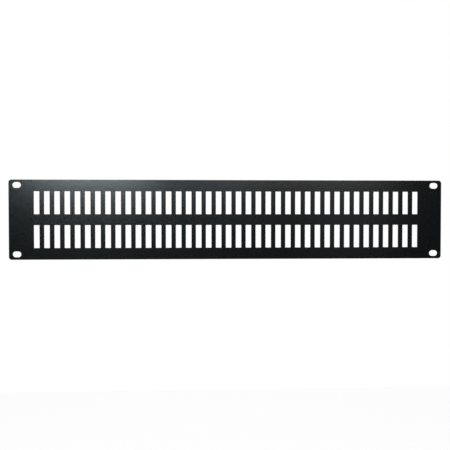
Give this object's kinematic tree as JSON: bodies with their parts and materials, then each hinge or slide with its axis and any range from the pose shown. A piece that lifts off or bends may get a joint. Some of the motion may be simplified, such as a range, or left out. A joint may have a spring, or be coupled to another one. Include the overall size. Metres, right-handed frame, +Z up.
{
  "type": "rack blanking panel",
  "caption": "Vented blanking panel for a 19 inch rack, two units high: a flat black powder-coated steel sheet with four bolt slots and two rows of 39 upright vent slots.",
  "frame": {"origin": "centre of the four bolt slots, on the rear face that seats on the rack posts", "axes": "+X across the rack along the panel's length, +Z up, the front face looks towards -Y"},
  "size_m": [0.4826, 0.0015, 0.0882],
  "materials": {
    "coated_steel": "satin"
  },
  "bodies": {
    "root": {"vent_panel": "coated_steel"}
  },
  "joints": []
}
